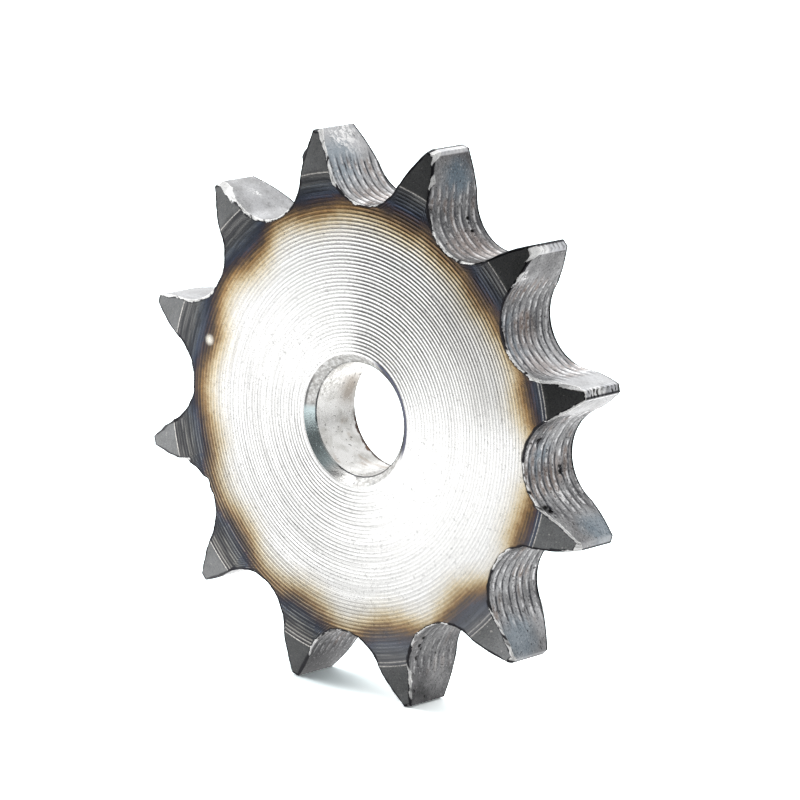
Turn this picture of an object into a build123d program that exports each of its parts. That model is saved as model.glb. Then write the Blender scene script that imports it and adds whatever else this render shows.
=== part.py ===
from build123d import *
import os
from math import pi, radians, sin, tan

# A plate sprocket for roller chain: one steel disc, turned on both faces, with its teeth cut
# straight through. It stands on two neighbouring teeth, with the bore along Y, the bore's centre
# at the origin halfway through the plate, and the front face towards -Y.

# The chain that it runs with, in millimetres
chain_pitch = 9.525
roller_diameter = 6.35

# Teeth. The seat is cut a little larger than the roller, and its floor is where a roller touches.
tooth_count = 12
tooth_reach = 1.9  # from the pitch circle out to the tooth tips
seat_radius = 3.5
seating_angle = 122.5  # degrees of arc in each seat
flank_radius = 13.1  # the bulge of a tooth's side, above the seat

# Disc
plate_thickness = 5.3
bevel_width = 3.0  # along the radius, inwards from the tooth tips
bevel_angle = 15.0  # degrees that the bevel falls away from the plate's face

# Bore
bore_diameter = 8.0
bore_chamfer = 0.65

# Sizes that follow from the ones above
pitch_radius = chain_pitch / 2 / sin(pi / tooth_count)
root_radius = pitch_radius - roller_diameter / 2
tip_radius = pitch_radius + tooth_reach
bevel_start = tip_radius - bevel_width
bevel_drop = bevel_width * tan(radians(bevel_angle))
bore_radius = bore_diameter / 2
half_thickness = plate_thickness / 2


def turned_section():
    """Section of the disc as it leaves the lathe, with the radius along X and the bore's axis along Y."""
    with BuildSketch() as section:
        with BuildLine():
            Polyline(
                (bore_radius, 0),
                (bore_radius, half_thickness - bore_chamfer),
                (bore_radius + bore_chamfer, half_thickness),
                (bevel_start, half_thickness),
                (tip_radius, half_thickness - bevel_drop),
                (tip_radius, 0),
                close=True,
            )
        make_face()
        mirror(about=Plane.XZ)
    return section.sketch


def tooth_gap():
    """The gap between two teeth, opening along +X: a round seat that runs on, with no corner, into
    the convex side of the tooth above and below it. The mouth closes outside the disc."""
    seat_end = 180 - seating_angle / 2
    seat_centre = Vector(root_radius + seat_radius, 0)
    flank_centre = seat_centre + Vector(seat_radius + flank_radius, 0).rotate(Axis.Z, seat_end)
    with BuildSketch() as gap:
        with BuildLine():
            CenterArc(seat_centre, seat_radius, seat_end, seating_angle)
            upper_flank = CenterArc(flank_centre, flank_radius, seat_end - 180, 180 - seat_end)
            lower_flank = mirror(upper_flank, about=Plane.XZ)
            Line(upper_flank @ 1, lower_flank @ 1)
        make_face()
    return gap.sketch


def chain_sprocket():
    """The turned disc with its gaps cut through. One gap faces straight down, so that the two teeth
    beside it carry the sprocket."""
    with BuildPart() as sprocket:
        with BuildSketch(Plane.XY):
            add(turned_section())
        revolve(axis=Axis.Y)
        with BuildSketch(Plane.XZ):
            with PolarLocations(0, tooth_count, start_angle=-90):
                add(tooth_gap())
        extrude(amount=plate_thickness, both=True, mode=Mode.SUBTRACT)
    return sprocket.part


os.makedirs("parts", exist_ok=True)
export_step(chain_sprocket(), "parts/sprocket.step")
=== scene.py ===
import math

import bpy
import numpy as np
from mathutils import Matrix, Vector


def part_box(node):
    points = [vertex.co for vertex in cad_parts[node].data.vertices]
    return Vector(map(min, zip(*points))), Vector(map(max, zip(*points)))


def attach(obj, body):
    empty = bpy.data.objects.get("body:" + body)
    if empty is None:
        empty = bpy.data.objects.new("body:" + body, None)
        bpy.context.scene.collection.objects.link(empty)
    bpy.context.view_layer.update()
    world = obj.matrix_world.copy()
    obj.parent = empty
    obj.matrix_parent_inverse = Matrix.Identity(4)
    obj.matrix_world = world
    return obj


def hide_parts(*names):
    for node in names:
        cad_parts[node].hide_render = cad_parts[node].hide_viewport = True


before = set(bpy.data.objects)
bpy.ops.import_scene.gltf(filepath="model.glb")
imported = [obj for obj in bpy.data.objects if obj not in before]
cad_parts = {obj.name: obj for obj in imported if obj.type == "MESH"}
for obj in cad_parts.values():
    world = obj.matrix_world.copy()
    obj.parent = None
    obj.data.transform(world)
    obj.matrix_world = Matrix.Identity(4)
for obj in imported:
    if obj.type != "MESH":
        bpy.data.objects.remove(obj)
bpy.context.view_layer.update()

# Sizes of the sprocket in metres, as on the CAD node
MM = 0.001
chain_pitch = 9.525 * MM
roller_diameter = 6.35 * MM
tooth_count = 12
tooth_reach = 1.9 * MM
seat_radius = 3.5 * MM
half_seating_angle = math.radians(122.5 / 2)
flank_radius = 13.1 * MM
bevel_width = 3.0 * MM
bevel_slope = math.tan(math.radians(15.0))
bore_radius = 4.0 * MM
bore_chamfer = 0.65 * MM
front_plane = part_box("sprocket")[0][1]
back_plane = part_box("sprocket")[1][1]
floor_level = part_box("sprocket")[0][2]

pitch_radius = chain_pitch / 2 / math.sin(math.pi / tooth_count)
root_radius = pitch_radius - roller_diameter / 2
tip_radius = pitch_radius + tooth_reach
bevel_start = tip_radius - bevel_width
half_pitch_angle = math.pi / tooth_count

# Turning: the lathe tool's feed for each turn, how deep the scallop is that it leaves, and how much of that
# is left: angle clockwise from the top, and share
feed = 0.2665 * MM
groove_depth = 0.022 * MM
groove_skew = 1.45
root_groove_share = 0.7
groove_fading = 0.4 * MM
feed_drift = 0.12
feed_drift_length = 0.83 * MM
grooves_kept = (
    (-15, 0.27), (-5, 0.32), (3, 0.82), (15, 0.88), (45, 0.68), (75, 0.42), (105, 0.18),
    (135, 0.22), (165, 0.54), (195, 0.84), (225, 0.90), (255, 0.86), (285, 0.80), (315, 0.34),
)

# Cutter marks along the tooth gaps: their spacing and how strong they are in each gap, clockwise from the
# top one
mark_spacing = (0.68, 0.74, 0.64, 0.70, 0.72, 0.78, 0.70, 0.70, 0.70, 0.70, 0.70, 0.70)
mark_strength = (1.3, 0.9, 1.3, 1.35, 1.5, 0.6, 0.7, 0.8, 0.9, 0.9, 0.3, 0.0)
mark_depth = 0.062 * MM
mark_slant = 0.09
mark_reach = 5.1 * MM
mark_fading = 1.1 * MM
mark_sway = 0.12
mark_unevenness = 0.3
mark_drift = 7
surface_drift = 3.1
first_turn = 20
turns_to_next_gap = 0.37
gap_unevenness = 0.006 * MM

# Corners of the tips that are burnt dark: the gap beside each, the side of it, and how wide the line is
dark_corners = ((11, 1, 0.24), (0, 1, 0.24), (1, 1, 0.24), (3, -1, 0.18), (4, -1, 0.18), (5, -1, 0.18))

# Tips that are rubbed bright, with bars that the saw left across them: the gap before each, and how dark
# the bars are
bar_spacing = 0.40 * MM
bar_depth = 0.04 * MM
bar_reach = 0.5 * MM
barred_tips = ((0, 0.25), (1, 0.55), (2, 1.0), (3, 0.035), (4, 0.03))

# Broken edges between the faces and the tooth gaps
edge_break = 0.055 * MM
edge_break_swing = 0.9
edge_break_limits = (0.35, 4)
fine_ripple_share = 0.8

# Lines of smooth irregular numbers: the longest wave, how many shorter ones are added, and the random seed
wavers = {
    "edge": (4.6 * MM, 3, 4),
    "fine_edge": (1.3 * MM, 3, 9),
    "stray_rubbing_and_highlight": (4.6 * MM, 4, 21),
    "broken_rubbing_and_highlight": (1.3 * MM, 3, 33),
    "mark_sway": (5.3 * MM, 2, 5),
    "mark_depth": (2.1 * MM, 2, 6),
    "gap_surface": (1.9 * MM, 3, 8),
}
shorter_by = 1.9
weaker_by = 0.7
waver_scale = 1.8

# Places on the outline are a gap's number, clockwise from the top one, and a distance in mm along the
# outline from the middle of its floor, clockwise. Chips in the front edge: place, half length, how far
# they reach in over the face, and how deep they go along the gap.
front_chips = (
    (11, -6.5, 0.9, 0.26, 0.50), (11, -5.4, 0.7, 0.14, 0.16), (0, -6.9, 0.8, 0.10, 0.30),
    (1, -7.1, 0.7, 0.14, 0.60), (2, -7.1, 0.8, 0.14, 0.80), (2, 3.4, 0.4, 0.10, 0.16),
    (2, 4.7, 0.5, 0.12, 0.20), (2, 6.1, 0.6, 0.16, 0.26), (4, -7.1, 0.6, 0.12, 0.40),
    (5, -7.1, 0.6, 0.10, 0.30), (8, 0.8, 0.45, 0.12, 0.10), (8, 3.3, 0.5, 0.10, 0.10),
    (9, -4.3, 0.5, 0.12, 0.10),
)

# Burrs that stand out past the front edge: place, half length and height
front_burrs = (
    (1, -5.1, 0.34, 0.30), (11, 5.2, 0.26, 0.30), (2, 2.4, 0.5, 0.1), (5, 4.35, 0.35, 0.13),
    (5, 5.1, 0.25, 0.12), (8, 1.4, 0.4, 0.1), (4, 5.7, 0.6, 0.08),
)
burr_rows = 2

# How bare the two sides of each gap are, from 0, scaled dark, to 1, with painted shade also lowering the
# darkest flanks, such as the one after gap 6: before its middle and after it, and over what length one
# passes into the other
bare_and_shade_before = (0.70, 0.08, 0.28, 0.44, 0.40, 0.24, 0.36, 0.25, 0.4, 0.4, 0.75, 0.57)
bare_and_shade_after = (0.3, 0.45, 0.80, 0.28, 0.48, 0.14, -0.38, 0.2, 0.4, 0.4, 0.75, 0.5)
bare_blend = 3.0 * MM

# Stretches of the front edge that are rubbed bright and painted with the highlights that edges catch: gap,
# from, to and how bright. Elsewhere the edge has a little brightness of its own, and the back edge has the
# same all round.
rubbed_highlit_edges = (
    (10, -7.0, 1.0, 1.0), (11, -7.0, -5.2, 2.6), (11, -5.0, 1.2, 1.0), (0, -6.9, -3.0, 1.0),
    (0, -1.5, 1.2, 0.8), (1, -7.1, -6.6, 2.2), (1, -5.2, -5.0, 3.2), (1, -1.6, 2.6, 1.0),
    (2, -7.2, -6.7, 2.2), (2, -5.3, -4.7, 1.5), (2, 0.4, 3.2, 1.0), (2, 3.2, 7.2, 1.9),
    (3, -7.2, -4.0, 1.5), (3, 0.3, 2.0, 0.9), (3, 2.4, 7.2, 0.9), (4, -7.2, -6.4, 1.2),
    (4, -2.0, 0.5, 0.9), (4, 3.7, 5.0, 0.9), (4, 5.6, 7.2, 0.9), (5, -1.6, 2.2, 1.0),
    (5, 4.2, 5.3, 1.5), (5, 5.6, 7.2, 0.5), (6, -0.5, 2.0, 0.5), (6, 2.4, 4.4, 0.9),
    (8, 3.0, 3.8, 0.8),
)
bright_end = 0.3 * MM
bright_level = 0.72
bright_swing = 0.55
brightest = 4
stray_level = 0.06
stray_swing = 0.14
back_brightness = 0.3

# Pits in the tooth gaps: place, depth behind the middle plane, and radius
gap_pits = (
    (1, -2.30, 1.30, 0.20), (1, -1.37, 1.22, 0.17), (1, -1.85, 1.24, 0.13), (3, -1.10, -1.34, 0.30),
    (3, 0.85, 1.19, 0.24), (3, 1.25, 1.19, 0.27), (3, 3.35, -1.95, 0.32), (3, 3.80, -1.85, 0.30),
    (2, -2.9, -1.0, 0.11), (2, 1.5, -1.9, 0.13), (2, 2.3, -1.75, 0.16), (2, -4.30, 1.13, 0.10),
    (2, -1.89, -0.07, 0.14), (2, 0.6, -1.4, 0.12), (5, 3.5, 0.3, 0.14), (5, 1.9, -1.6, 0.20),
    (5, 2.4, -1.7, 0.18), (5, 2.9, -1.4, 0.16), (5, 3.4, -1.75, 0.20), (5, 4.1, -1.5, 0.14),
    (4, -1.9, -1.3, 0.10), (4, 5.5, 0.2, 0.10),
)
pit_depth = 0.5
pit_reach = 1.4

# Patches in the gaps: place, depth behind the middle plane, and radius. Some are scratched and painted near
# white, painted glints, some are tinted blue by heat, and some brown.
gap_patches = {
    "Bright": ((0, -6.35, 0.2, 1.9), (11, -4.9, 0.2, 0.7), (2, -5.03, -1.89, 0.5), (3, 2.81, 0.18, 1.0)),
    "Blue": (
        (0, -4.5, -1.0, 2.4), (1, -5.2, 0.3, 2.0), (2, -0.2, -1.9, 2.5), (3, 0.2, -0.84, 1.8),
        (3, 6.42, 0.97, 2.2), (4, 5.86, -0.74, 2.4),
    ),
    "Brown": (
        (2, 2.2, -0.5, 1.9), (2, -0.6, -0.6, 1.8), (3, 1.07, 0.33, 1.6), (1, 0.4, 0.2, 2.4),
        (0, -0.8, 0.3, 2.0),
    ),
}

# The mark of a hardness test, on the front face: angle clockwise from the top, radius, and its own radius
dent_angle = math.radians(283.5)
dent_distance = 14.2 * MM
dent_radius = 0.36 * MM

# Stretches where the heat tint lies further out than a plain ring, or further in: angle in degrees, half
# width in degrees, and how far, as a share of the tip radius
cool_stretches = (
    (95, 40, 0.050), (345, 13, 0.028), (15, 11, 0.018), (30, 8, -0.027), (45, 12, -0.006),
    (60, 8, -0.018), (75, 6, -0.010), (90, 7, 0.018), (120, 7, 0.018), (150, 6, 0.012),
    (180, 6, 0.012), (330, 9, 0.020), (300, 9, 0.004), (240, 10, 0.010), (210, 10, 0.006),
)

# How bare each tooth's bevel is, from 0 to 1, clockwise from tooth 1 at the top left
bevel_bareness = (0.58, 0.62, 0.85, 0.58, 0.88, 0.98, 0.88, 0.44, 0.68, 0.84, 0.68, 0.60)

# Grid: columns in half a tooth pitch along the seat, the flank and the tip, and rows across
seat_columns = 12
flank_columns = 10
tip_columns = 3
coarse_step = 3
wall_rows = 8
chamfer_shares = (0, 0.33, 0.67)
switch_turns = 55
front_rows_in_turn = 3
back_rows_in_turn = 2
bevel_rows = 8
bevel_squeeze = 0.94
rim_rows = 32
least_lean = 0.3
phase_table_size = 20000
phase_table_end = 1.1 * tip_radius

# Sharp edges: where the surface turns by this angle, and along ridges, found by how hollow a point is, how
# far under the face it lies, and how far from the bevel
sharp_angle = math.radians(30)
ridge_hollow = 0.03
ridge_sink = 0.2 * groove_depth
ridge_limit = 0.995 * bevel_start
ridge_drift = 0.1 * feed

# Numbers that the mesh holds for each point, and what they are where a row gives none
held_numbers = {
    "hollow": 0.0,
    "rubbed": 0.0,
    "brink": 9.0,
    "bare": 0.0,
    "mark_turns": 0.0,
    "mark_fade": 0.0,
    "barred": 0.0,
    "corner": 9.0,
}

# Heat tint: how far its rings lie off centre and which way, how much further in they reach under a tooth
# and in the grooves, and how much each noise moves them, all as shares of the tip radius
heat_lean = 0.030
heat_lean_angle = math.radians(95)
heat_scallop = 0.017
heat_in_grooves = 0.010
heat_wander = {"heat_clouds": 0.030, "heat_blots": 0.024, "heat_fray": 0.030}

# The tint's colours from clean steel out to the scaled teeth, by the heat where each one lies
heat_stops = (
    (0.585, (0.735, 0.735, 0.725)),
    (0.632, (0.66, 0.64, 0.59)),
    (0.664, (0.58, 0.51, 0.38)),
    (0.688, (0.45, 0.34, 0.19)),
    (0.708, (0.29, 0.175, 0.075)),
    (0.728, (0.145, 0.095, 0.055)),
    (0.748, (0.078, 0.054, 0.056)),
    (0.765, (0.054, 0.068, 0.105)),
    (0.790, (0.090, 0.104, 0.125)),
    (0.815, (0.14, 0.143, 0.143)),
    (0.850, (0.16, 0.16, 0.16)),
)

# Greys of the tooth gaps, from scaled to bare
gap_greys = (
    (0.0, (0.08, 0.08, 0.083)),
    (0.25, (0.17, 0.17, 0.175)),
    (0.5, (0.31, 0.31, 0.315)),
    (1.0, (0.65, 0.657, 0.675)),
)

# Noises: how much each axis is stretched, scale to the mm, detail, roughness and distortion, and for some
# the values between which it goes from 0 to 1
noises = {
    "heat_clouds": (1, (0.22, 2.0, 0.5, 0.0), ()),
    "heat_blots": (1, (0.95, 2.0, 0.55, 0.0), ()),
    "heat_fray": (1, (3.5, 3.0, 0.6, 0.0), ()),
    "mark_patches": (1, (1.6, 3.0, 0.65, 0.0), ()),
    "mark_heat": (1, (0.42, 2.0, 0.5, 0.0), (0.50, 0.62)),
    "patch_sway": (1, (0.9, 3.0, 0.6, 0.0), ()),
    "patch_scratches": (1, (3.2, 3.0, 0.65, 0.5), (0.48, 0.54)),
    "pit_fray": (1, (6.0, 2.0, 0.5, 0.0), ()),
    "speckle": ((1, 1.4, 1), (5.5, 2.0, 0.7, 0.0), ()),
    "bar_breaks": (1, (1.6, 3.0, 0.7, 0.0), (0.36, 0.54, 0.2, 1.0)),
    "stain": ((1, 0.8, 1), (0.75, 4.0, 0.6, 0.6), ()),
    "brown_stain": ((0.7, 1.0, 0.7), (0.5, 3.0, 0.6, 0.0), ()),
    "clumps": (1, (3.6, 3.0, 0.7, 0.0), ()),
    "smears": ((0.9, 2.0, 2.6), (1.0, 3.0, 0.65, 0.0), ()),
    "reamer_lines": ((0.4, 6.0, 0.4), (1.0, 2.0, 0.5, 0.0), ()),
}
wear_noises = {
    "Bright": (1, (4.2, 2.0, 0.6, 0.0), (0.66, 0.76)),
    "Dark": (1, (3.6, 2.0, 0.55, 0.4), (0.355, 0.295)),
    "Scratches": ((1.1, 0.35, 0.25), (2.4, 3.0, 0.7, 1.2), (0.63, 0.70)),
    "Grain": (1, (9.0, 4.0, 0.65, 0.0), ()),
    "Fine": (1, (12.0, 2.0, 0.7, 0.0), ()),
    "Cloud": (1, (0.55, 3.0, 0.55, 0.0), ()),
    "Ragged": (1, (2.4, 3.0, 0.7, 0.0), ()),
}

# Lines round the axis: how fine they are across and along, and their detail
ring_noises = {
    "Lines": (260.0, 2.5, 2.0),
    "Tones": (70.0, 1.6, 2.0),
    "Bands": (45.0, 3.0, 3.0),
    "Dashes": (90.0, 26.0, 3.0),
}
ring_roughness = 0.6

# Streaks along the gaps: how much the place is stretched, how many lie in a turn of the marks, and the noise
streak_stretch = (0.55, 1, 0.55)
streaks_in_turn = 3.4
streak_noise = (1.0, 3.0, 0.7, 0.3)

# Named steps: the values between which a mask goes smoothly from 0 to 1, or from the third number to the
# fourth. Angles are in radians, distances in mm, and radii on the face in shares of the tip radius.
steps = {
    "oxide": (0.66, 0.78),
    "dashes": (0.55, 0.75),
    "ridge_foot": (0.66, 0.84),
    "ridge_top": (1.0, 0.93),
    "beside_ridge": (0.0, 0.10),
    "beside_ends": (0.54, 0.22),
    "warm_side": (0.35, 0.75),
    "patchy_marks": (0.34, 0.56, 0.25, 1.0),
    "patchy_ridges": (0.42, 0.58),
    "streaks": (0.47, 0.33),
    "streaks_fade": (0.0, 0.7, 0.08, 1.0),
    "outer": (0.55, 0.69),
    "upper_right_shade_fades": (0.72, 0.66, 0.2, 1.0),
    "root_line": (0.0030, 0.0010),
    "broken_line": (0.40, 0.55, 0.3, 1),
    "rubbed": (0.25, 0.6),
    "gap_clouds": (0.3, 0.7, -0.2, 0.2),
    "gap_greys": (-0.6, 1.2),
    "soiled": (0.48, 0.60, 1.0, 0.35),
    "rubbed_clouds": (0.38, 0.60),
    "barred": (0.0, 0.1),
    "at_back": (0.0, 0.5),
    "edge_grain": (0.3, 0.5, 0.5, 1.0),
    "lower_left_wall": (-1.65, -1.9),
    "torn_end": (2.20, 2.05),
    "on_chamfer": (4.00, 4.03),
    "on_wall": (4.03, 4.00),
    "in_front": (0.5, -0.5),
    "above": (-1.62, -1.45),
    "wall_top": (-1.5, -1.2),
    "wall_front": (1.4, -0.6),
    "thin_line": (4.17, 4.10),
    "line_breaks": (0.44, 0.56, 0.9, 0.4),
}

# Stretches of angle clockwise from the top, in radians: where each starts, is whole, starts to fade and ends
arcs = {
    "right_mouth": (0.25, 0.5, 1.8, 2.1),
    "right_chamfer": (0.35, 0.6, 1.8, 2.1),
    "left_edge": (-2.2, -1.8, -1.15, -0.9),
    "cool": (-2.75, -2.45, -1.58, -1.46),
    "highlight_line": (-2.75, -2.55, -1.95, -1.75),
    "broken": (-1.3, -1.1, 0.0, 0.3),
}

# Sides of the wheel: the middle of each in degrees clockwise from the top, and the cosines of the angle off
# it where it starts and where it is whole
sides = {
    "lower_left": (212, 0.55, 0.88),
    "upper_right": (57, 0.86, 0.98),
    "low_right": (142, 0.75, 0.95),
    "second_line": (140, -0.1, 0.3),
    "bottom": (180, 0.80, 0.93),
}

# Layers of colour: the values between which each one comes in, its strength, and its colour, where a single
# number is a grey. A layer without the first two takes its mask as it is.
layers = {
    "fine_lines": (0.45, 0.65, 0.20, 0.02),
    "dull_turns": (0.65, 0.35, 0.30, 0.10),
    # Painted shade in the grooves and painted highlight on the ridges, at the lower left
    "shaded_grooves": (0.55, 0.90, 0.62, (0.045, 0.04, 0.035)),
    "highlit_ridges": (0.40, 0.10, 0.24, (0.74, 0.70, 0.58)),
    # Painted shade on the upper right of the face
    "upper_right_shade": (0.42, 0.62, 0.32, (0.16, 0.15, 0.13)),
    "dashes": (1.0, 0.05),
    "face_grain": (0.48, 0.30, 0.30, 0.05),
    "bands": (0.56, 0.44, 0.65, (0.022, 0.024, 0.03)),
    "scaled_grooves": (0.32, (0.015, 0.016, 0.02)),
    "pale_scale": (0.22, (0.37, 0.375, 0.40)),
    "bevel_clouds": (0.3, 0.7, 0.45, (0.08, 0.085, 0.085)),
    "bevel_lines": (0.5, 0.7, 0.14, 0.32),
    "bevel_grain": (0.50, 0.32, 0.45, 0.03),
    "bevel_glints": (0.56, 0.66, 0.35, (0.42, 0.42, 0.38)),
    "bevel_specks": (0.5, (0.62, 0.60, 0.57)),
    "bevel_start": (0.9, (0.62, 0.60, 0.57)),
    "second_line": (0.5, (0.62, 0.60, 0.57)),
    "face_specks": (0.22, 0.03),
    "dent": (0.9, (0.70, 0.67, 0.60)),
    # Painted shade: a dark line round the bore's mouth on its right side
    "mouth_shade_line": (4.88, 4.80, 0.92, (0.035, 0.04, 0.075)),
    "face_rim": (0.22, 0.13, 0.9, (0.02, 0.02, 0.024)),
    "blue_heat": (0.42, (0.16, 0.265, 0.35)),
    "brown_heat": (0.35, (0.42, 0.29, 0.23)),
    # Scratched patches painted near white: painted glints
    "scratched_glints": (1.0, 0.98),
    "streaks": (0.6, (0.035, 0.038, 0.045)),
    "mark_heat": (0.4, (0.34, 0.25, 0.205)),
    # Painted shade beside the cutter marks' ridges, and painted highlight on them
    "mark_shade": (0.8, (0.025, 0.027, 0.035)),
    "mark_highlights": (0.7, (0.88, 0.88, 0.89)),
    "dark_speckle": (0.47, 0.32, 0.6, (0.04, 0.04, 0.045)),
    "bright_speckle": (0.62, 0.70, 0.45, 0.90),
    "gap_grain": (0.46, 0.32, 0.3, 0.05),
    "gap_scratches": (0.2, 0.7),
    "gap_specks": (0.8, 0.02),
    "tip_corner": (1.3, 0.8, 0.92, (0.02, 0.02, 0.025)),
    "back_rim": (0.21, 0.13, 1.0, (0.02, 0.02, 0.025)),
    "pits": (1.0, 0.006),
    "stain": (0.42, 0.68, 0.7, (0.50, 0.49, 0.46)),
    "brown_stain": (0.58, 0.70, 0.55, (0.36, 0.28, 0.21)),
    "wall_stain": (2.0, 0.2, 0.85, (0.25, 0.21, 0.17)),
    "bore_glints": (1.0, (0.95, 0.95, 0.94)),
    "bore_specks": (0.7, 0.10),
    "torn": (1.70, 1.82, 1.0, (0.10, 0.07, 0.06)),
    "wall_speck": (0.42, 0.30, 0.9, (0.16, 0.09, 0.06)),
    "mottle": (0.56, 0.42, 0.85, (0.60, 0.59, 0.575)),
    "dots": (0.36, 0.31, 0.7, 0.12),
    "chamfer_glints": (0.53, 0.57, 1.0, (0.97, 0.97, 0.96)),
    "smears": (0.50, 0.60, 0.55, 0.30),
    "wall_grey": (0.58, 0.46, 0.8, (0.44, 0.43, 0.41)),
    "left_edge": (4.50, 4.58, 0.75, (0.12, 0.12, 0.125)),
    "cool": (0.85, (0.62, 0.76, 0.78)),
    # Painted highlight and painted shade on the line where the front chamfer meets the wall
    "highlight_line": (0.8, (0.92, 0.97, 0.96)),
    "shade_line": (1.0, (0.025, 0.028, 0.036)),
}

# Colours that layers are laid over or mixed from
bevel_colour = (0.205, 0.21, 0.215)
scale_colour = 0.0
edge_dark = (0.04, 0.04, 0.045)
edge_bright = (0.95, 0.95, 0.94)
band_dark = (0.02, 0.02, 0.022)
band_bright = (0.97, 0.97, 0.96)
bar_dark = 0.03
tip_dull = (0.58, 0.59, 0.62)
tip_bright = 0.92
bore_colour = (0.84, 0.835, 0.82)

# Sums of masks, for roughness and for height: a start, and the weight of each mask
sums = {
    "face_rough": (0.16, {"Oxide": 0.08, "on_bevel": 0.06, "Cloud": 0.06}),
    "face_height": (0.0, {"Lines": 1.0, "Fine": 1.2, "Dark": -0.5}),
    "gap_rough": (0.20, {"Grain": 0.20}),
    "gap_height": (0.0, {"speckle": 0.5, "Height": 0.8, "Dark": -0.6, "Mask": -3.0}),
    "edge_rough": (0.42, {"Grain": 0.2}),
    "bore_rough": (0.15, {"Grain": 0.25, "matt": 0.25}),
    "bore_height": (0.0, {"Grain": 1.0, "reamed": 1.0, "Dark": -1.0}),
}
face_relief = 0.004 * MM
gap_relief = 0.022 * MM
edge_relief = 0.03 * MM
bore_relief = 0.012 * MM

# How ragged masks are: what a noise moves them by, in mm, or in the mask's own unit
patch_sway = 1.6
pit_fray = 0.10
face_rim_fray = 0.06
worn_fray = 0.40
least_wear = 0.9
bar_sway = 1.6
corner_fray = 0.5
back_rim_fray = 0.08
stain_fray = 3.0
torn_fray = 0.5
speck_fray = 0.25
line_fray = 0.10

# How far masks reach: patches, pits and the dent as shares of their radius, the worn band and the bars as
# shares of their width, and the bevel line and the second line inside it as shares of the tip radius
patch_span = (1.0, 0.3)
pit_span = (1.25, 0.8)
dent_span = (1.6, 0.35)
band_core = 0.6
bar_span = (0.35, 0.65)
bevel_span = (-0.001, 0.002)
second_line_inset = 0.0138

# Dashes on the face: how strong they are everywhere, and more so where the grooves are deep
dashes_everywhere = 0.06
dashes_in_grooves = 0.3

# Worn edges, whose bright parts are partly painted highlight: how wide the band is in mm, and how matt its
# bright parts are
face_wear = (0.09, 0.6)
gap_wear_band = (0.10, 0.15)
edge_matt = 0.7
chamfer_matt = 0.15

# Marks on the bore's wall: angle clockwise from the top, and depth behind the middle plane
wall_stain_at = (math.radians(288), 1.3 * MM)
wall_speck_at = (math.radians(218), 1.85 * MM)

# Light: each side of the room that is bright, as a direction, the cosines of the angle off it where it
# starts and where it is whole, and its strength, where 1 is white
room_lights = (
    ((-0.98, 0.17, 0.10), 0.42, 0.80, 1.75),
    ((0.0, 0.6, 0.8), 0.0, 0.9, 0.85),
    ((0.742, -0.65, -0.07), 0.968, 0.980, 0.75),
)
room_strength = 0.11
backdrop = ((-0.63, 0.75, -0.20), 0.60, 0.90)
lamp_place = (-0.24, -0.03, 0.28)
lamp_size = 0.24
lamp_power = 0.42

# The paper that the sprocket stands on: its greys as a matt surface, near and far in front, and the colours
# that the camera sees on the left and on the right. The far grey is painted shade for metal to mirror, and
# the colour seen on the right is raised further, painted light that washes the shadow out there.
paper_reach = 3.0
paper_colour = 0.80
paper_far_shade = 0.10
paper_seen = (2.05, 2.26, 2.29)
paper_seen_right = (2.95, 3.1, 3.1)
# Strength of the painted glow in the patch in front on the right
right_patch_strength = 0.75

# Parts of the paper: a direction from the bore, the distances along it in metres where each part starts and
# is whole, and for some what it goes from and to. The lit, beside, ahead and behind parts shape the paper's
# painted glow, which only mirror rays see.
paper_parts = {
    "right": ((1, 0, 0), -0.003, 0.005),
    "far_in_front": ((0.35, -0.94, 0.0), 0.050, 0.115),
    "lit": ((-0.91, 0.41, 0.0), -0.008, 0.016, 0.12, 1.06),
    "beside": ((0.85, 0.52, 0.0), -0.001, 0.004),
    "ahead": ((0, -1, 0), 0.004, 0.010),
    "behind": ((0, 1, 0), 0.028, 0.060, 1.0, 0.5),
}

# Camera, as fitted to the photograph: turned, raised and rolled in degrees, lens in mm, and place in tip
# radii from the middle of the front face
camera_turned = 40.28
camera_raised = 13.14
camera_rolled = 2.42
camera_lens = 217.0
camera_sensor = 36.0
camera_sees_to = 20.0
camera_place = (10.454, -12.097, 3.811)


def groove_phase(radius):
    """Turns of the lathe tool from the axis out to a radius: radius over feed, plus a slow drift."""
    return radius / feed + feed_drift * np.sin(radius / feed_drift_length)


def radius_of_phase(phase):
    """The radius at which groove_phase reaches a value, by reading a fine table backwards."""
    table = np.linspace(0, phase_table_end, phase_table_size)
    return np.interp(phase, groove_phase(table), table)


def scallop(phase):
    """A parabola between whole numbers, 0 at each of them and 1 halfway."""
    part = phase % 1.0
    return 4 * part * (1 - part)


def groove_share(radius):
    """Depth of the lathe's scallops at a radius, from 0 on the ridges to 1. Each one is skewed: its share of
    a turn is raised to a power first, so that it falls slowly away from the axis and rises steeply."""
    return scallop((groove_phase(radius) % 1.0) ** groove_skew)


def grooves_left(angle):
    """How much of the grooves' depth is left at an angle, from 0 to 1: the values named above, and straight
    lines between them."""
    return np.interp(np.degrees(angle), *zip(*grooves_kept), period=360)


def turned_grooves(radius, angle):
    """Depth of the scallops that the lathe tool left, below the ridges between them."""
    return groove_depth * groove_share(radius) * grooves_left(angle)


def tint_shift(angle):
    """How much further out than a plain ring the heat tint lies at an angle, as a share of the tip radius: a
    sum of humps."""
    total = np.zeros(len(angle))
    for centre, half_width, shift in cool_stretches:
        off = (np.degrees(angle) - centre + 180) % 360 - 180
        total += shift * hump(off, half_width)
    return total


def waver(position, name):
    """One of the named lines of smooth irregular numbers, from about -1 to 1: sines of shorter and shorter
    length, each with its own random start, added up with falling weight."""
    length, octaves, seed = wavers[name]
    chance = np.random.default_rng(seed)
    total = np.zeros(np.shape(position))
    weight = 1.0
    for _ in range(octaves):
        total = total + weight * np.sin(2 * math.pi * (position / length + chance.uniform()))
        length, weight = length / shorter_by, weight * weaker_by
    return total / waver_scale


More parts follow.
